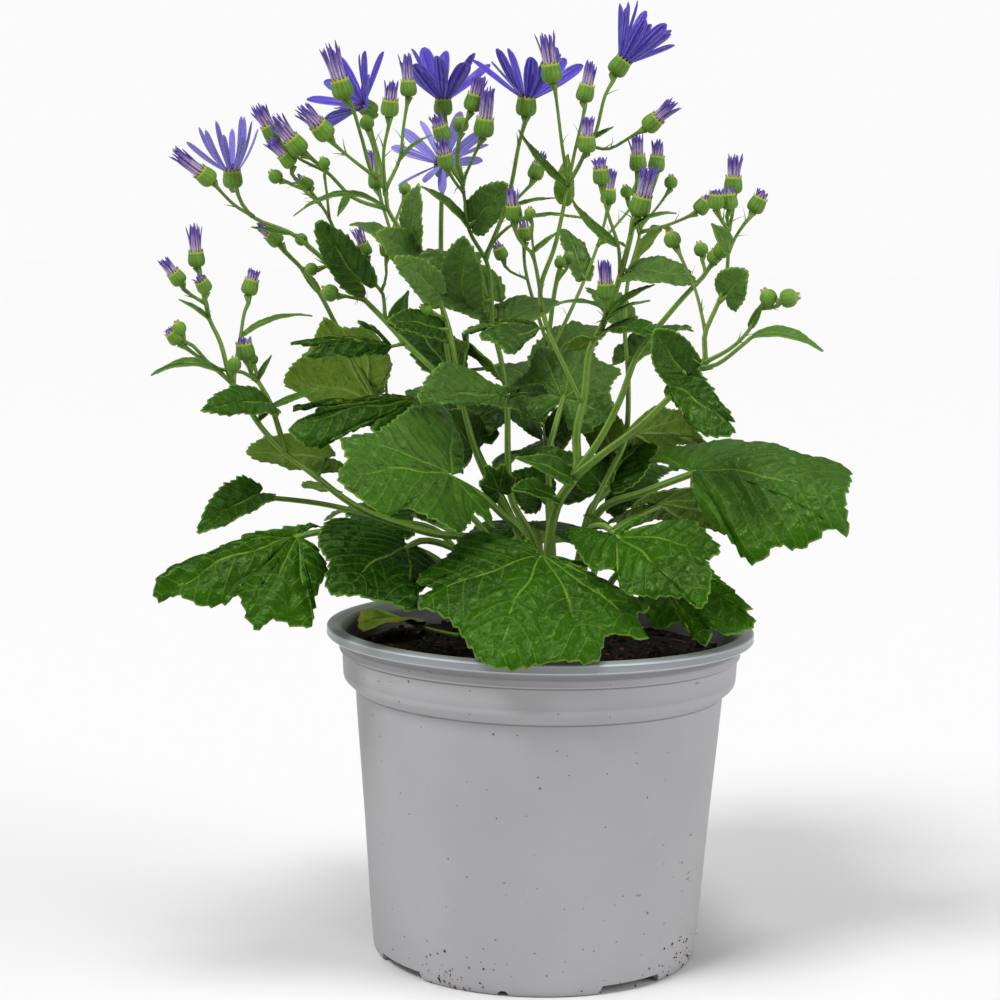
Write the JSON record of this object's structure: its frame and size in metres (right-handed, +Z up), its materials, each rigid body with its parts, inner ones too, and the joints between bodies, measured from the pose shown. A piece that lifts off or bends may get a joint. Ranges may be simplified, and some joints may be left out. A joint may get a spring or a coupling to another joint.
{
  "type": "potted flowering plant",
  "caption": "Florist cineraria with tall branched stems, lobed leaves and violet quilled flower heads, growing in its light grey plastic nursery pot.",
  "frame": {"origin": "middle of the pot's foot, on the surface that the pot stands on", "axes": "+Z up along the pot's axis, the plant's fuller front side faces -Y, +X to the right seen from the front"},
  "size_m": [0.2958, 0.2439, 0.4275],
  "materials": {
    "pot_plastic": "satin",
    "soil": "matte",
    "leaf_green": "satin",
    "shoot_green": "satin",
    "quill_violet": "matte",
    "ray_violet": "matte",
    "old_leaf": "matte"
  },
  "bodies": {
    "root": {"pot": "pot_plastic", "soil": "soil", "old_leaf": "old_leaf", "leaf_front": "leaf_green", "leaf_mid_left": "leaf_green", "leaf_right": "leaf_green", "leaf_right_low": "leaf_green", "leaf_right_rim": "leaf_green", "leaf_far_left": "leaf_green", "leaf_curled": "leaf_green", "leaf_left_dark": "leaf_green", "leaf_inner_right": "leaf_green", "leaf_far_right": "leaf_green", "leaf_back_right": "leaf_green", "leaf_back_left": "leaf_green", "leaf_back": "leaf_green", "shoot_left": "shoot_green", "shoot_mid_left": "shoot_green", "shoot_centre": "shoot_green", "shoot_right": "shoot_green", "shoot_inner_left": "shoot_green", "shoot_back_right": "shoot_green", "shoot_back_left": "shoot_green", "shoot_back": "shoot_green", "bloom_h23": "quill_violet", "bloom_h24": "quill_violet", "bloom_h26": "quill_violet", "bloom_h2": "quill_violet", "bloom_h5": "quill_violet", "bloom_h7": "quill_violet", "bloom_h6": "quill_violet", "bloom_f2": "ray_violet", "bloom_h3": "quill_violet", "bloom_h3b": "quill_violet", "bloom_f1": "ray_violet", "bloom_h1": "quill_violet", "bloom_h4": "quill_violet", "bloom_h9": "quill_violet", "bloom_h8": "quill_violet", "bloom_h33": "quill_violet", "bloom_h33b": "quill_violet", "bloom_f3": "ray_violet", "bloom_f5": "ray_violet", "bloom_h34": "quill_violet", "bloom_h17": "quill_violet", "bloom_h13": "quill_violet", "bloom_h32": "quill_violet", "bloom_h10": "quill_violet", "bloom_h11": "quill_violet", "bloom_h12": "quill_violet", "bloom_f6": "ray_violet", "bloom_h14": "quill_violet", "bloom_h18": "quill_violet", "bloom_h22": "quill_violet", "bloom_h27": "quill_violet", "bloom_h15": "quill_violet", "bloom_h16": "quill_violet", "bloom_f4": "ray_violet", "bloom_h40": "quill_violet", "bloom_h41": "quill_violet"}
  },
  "joints": []
}
